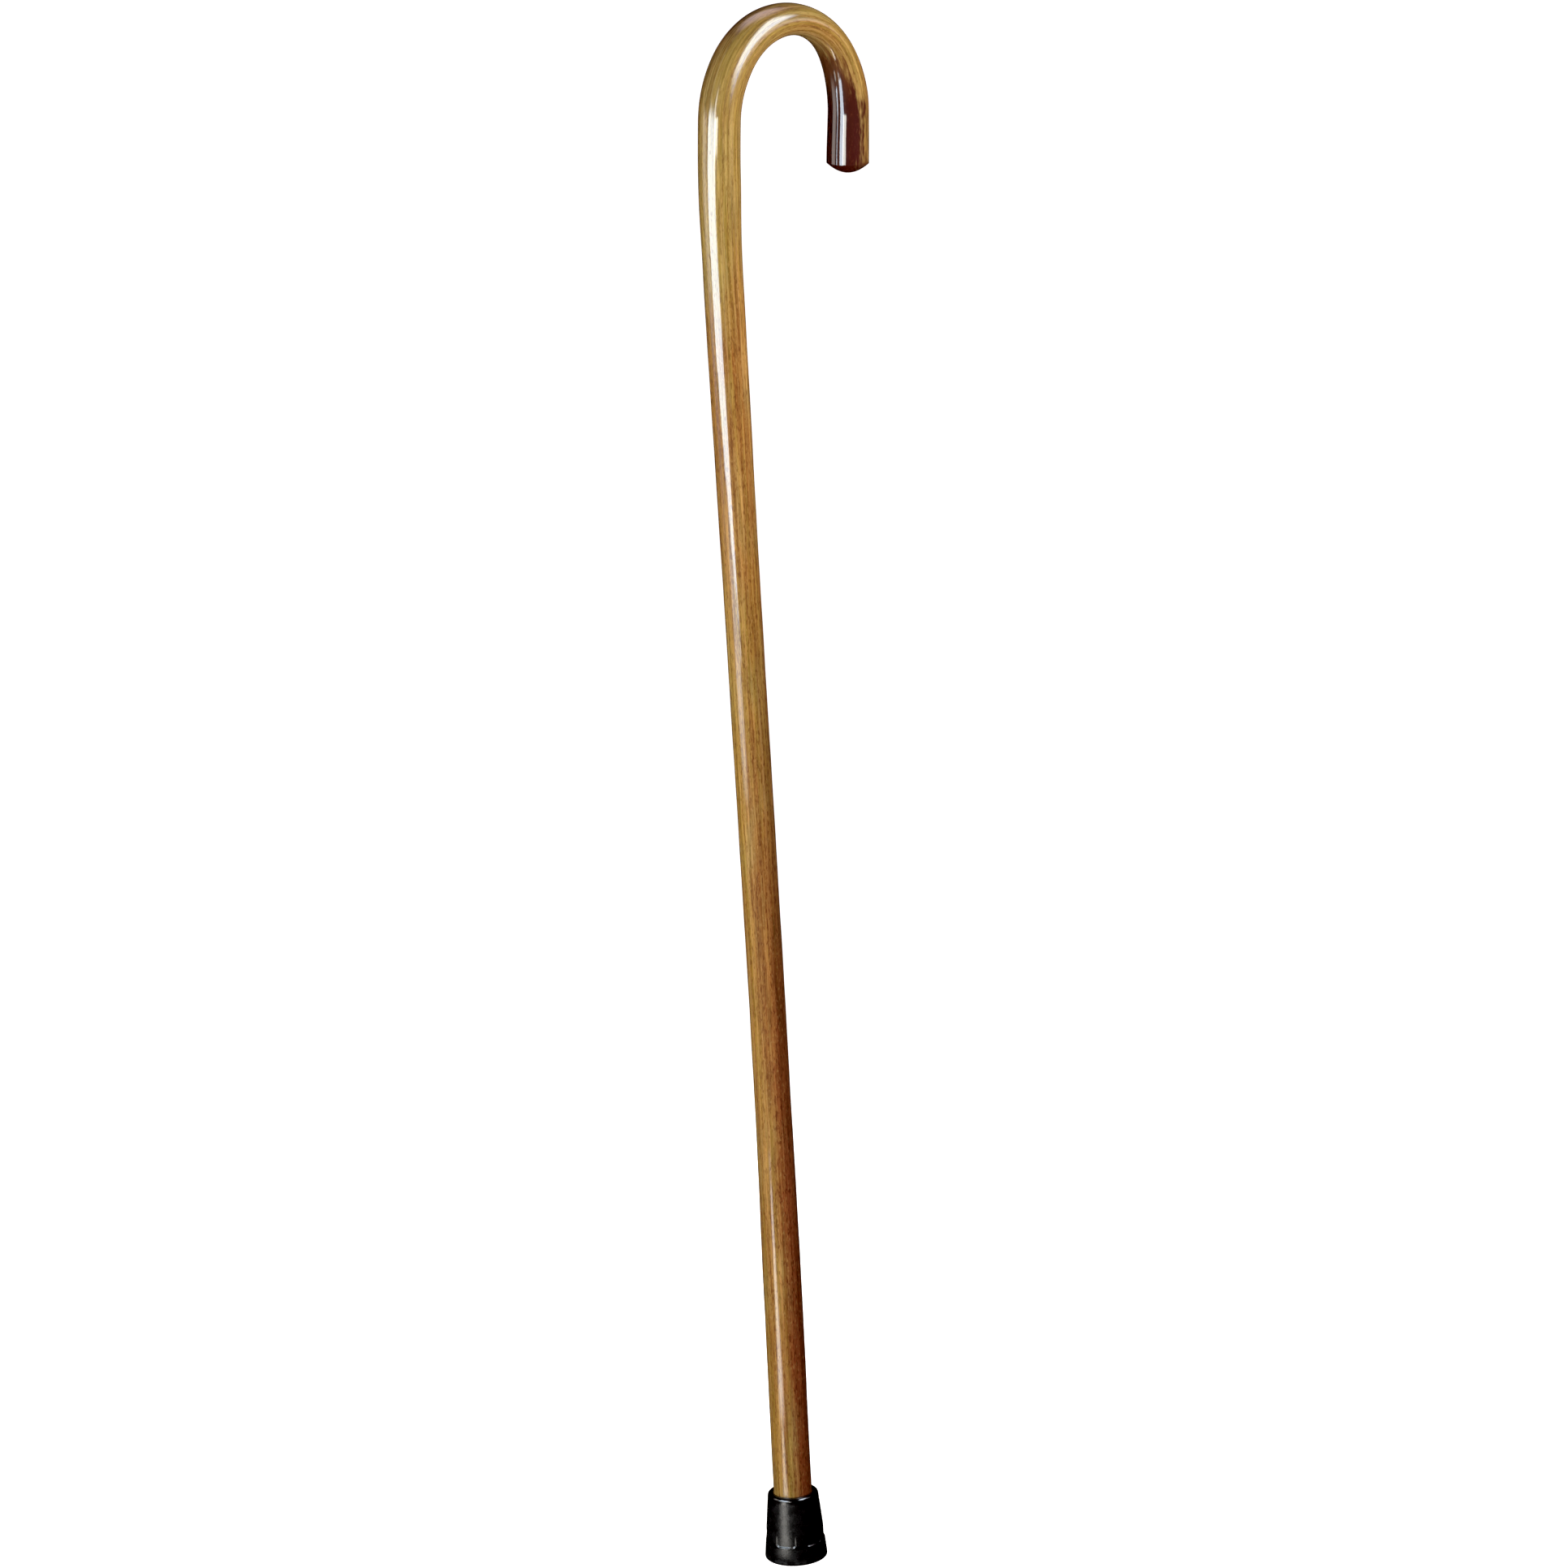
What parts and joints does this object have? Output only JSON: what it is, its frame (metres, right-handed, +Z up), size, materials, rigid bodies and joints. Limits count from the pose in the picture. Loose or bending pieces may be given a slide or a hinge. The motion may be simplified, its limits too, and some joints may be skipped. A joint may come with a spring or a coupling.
{
  "type": "crook walking cane",
  "caption": "Bent hardwood crook cane: a slim round shaft that curves into a hook handle, standing in a flared push-on rubber tip with a steel washer inside.",
  "frame": {"origin": "centre of the rubber tip's ground face, on the axis of the shaft's socketed end", "axes": "+Z up the shaft, +X from the shaft towards the free end of the crook, +Y square to the plane of the crook"},
  "size_m": [0.128, 0.0364, 0.9144],
  "materials": {
    "lacquered_wood": "walnut-stained open-pored hardwood under high-gloss clear lacquer",
    "black_rubber": "moulded black rubber, fine pebble, soft sheen",
    "zinc_steel": "dull zinc plate"
  },
  "bodies": {
    "cane": {"cane_rod": "lacquered_wood"},
    "tip": {"rubber_tip": "black_rubber", "steel_washer": "zinc_steel"}
  },
  "joints": [
    {"name": "tip_pull_off", "type": "slide", "parent": "cane", "child": "tip", "axis": [0, 0, -1], "range_m": [0, 0.045]}
  ]
}
